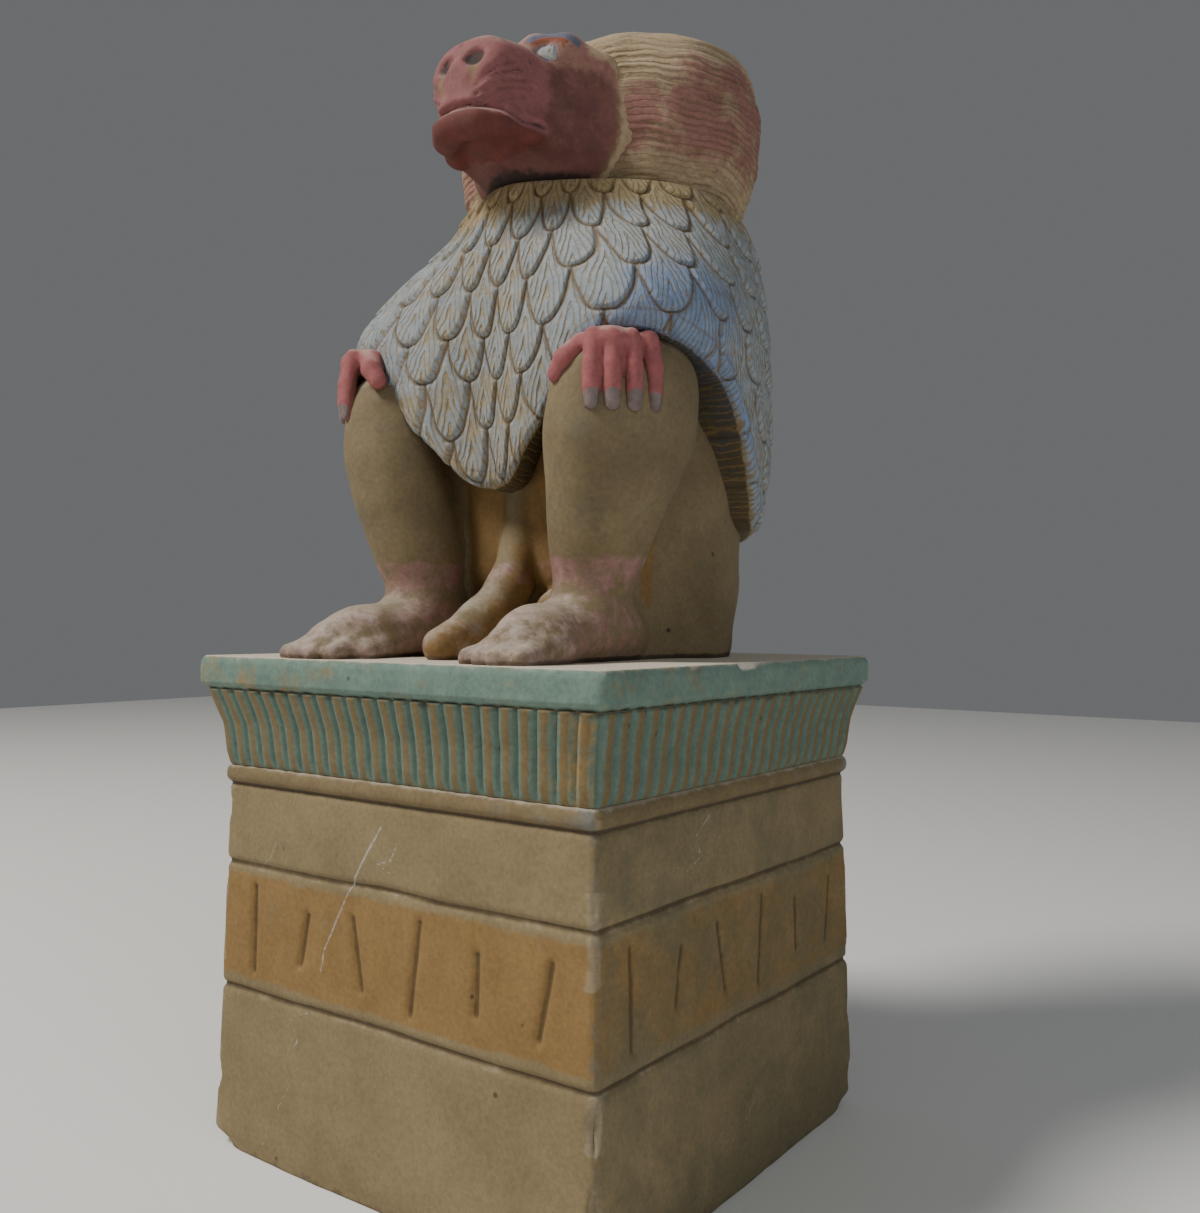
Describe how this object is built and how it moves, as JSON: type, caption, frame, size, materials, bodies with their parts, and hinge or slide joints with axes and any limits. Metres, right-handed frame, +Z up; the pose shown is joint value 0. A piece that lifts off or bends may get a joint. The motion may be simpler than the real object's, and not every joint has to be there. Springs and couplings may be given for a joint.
{
  "type": "baboon statuette",
  "caption": "Seated baboon in a feathered mantle, hands on its knees, cast in plaster and painted, on a square plinth with a fluted cornice and a band of shallow strokes.",
  "frame": {"origin": "middle of the plinth's underside", "axes": "+Z up, the baboon's face looks along -Y, its left hand is on the +X side"},
  "size_m": [0.12, 0.12, 0.2749],
  "materials": {
    "painted_cast": "matt, worn paint",
    "plinth_cast": "matt, worn paint"
  },
  "bodies": {
    "root": {"baboon": "painted_cast", "plinth": "plinth_cast"}
  },
  "joints": []
}
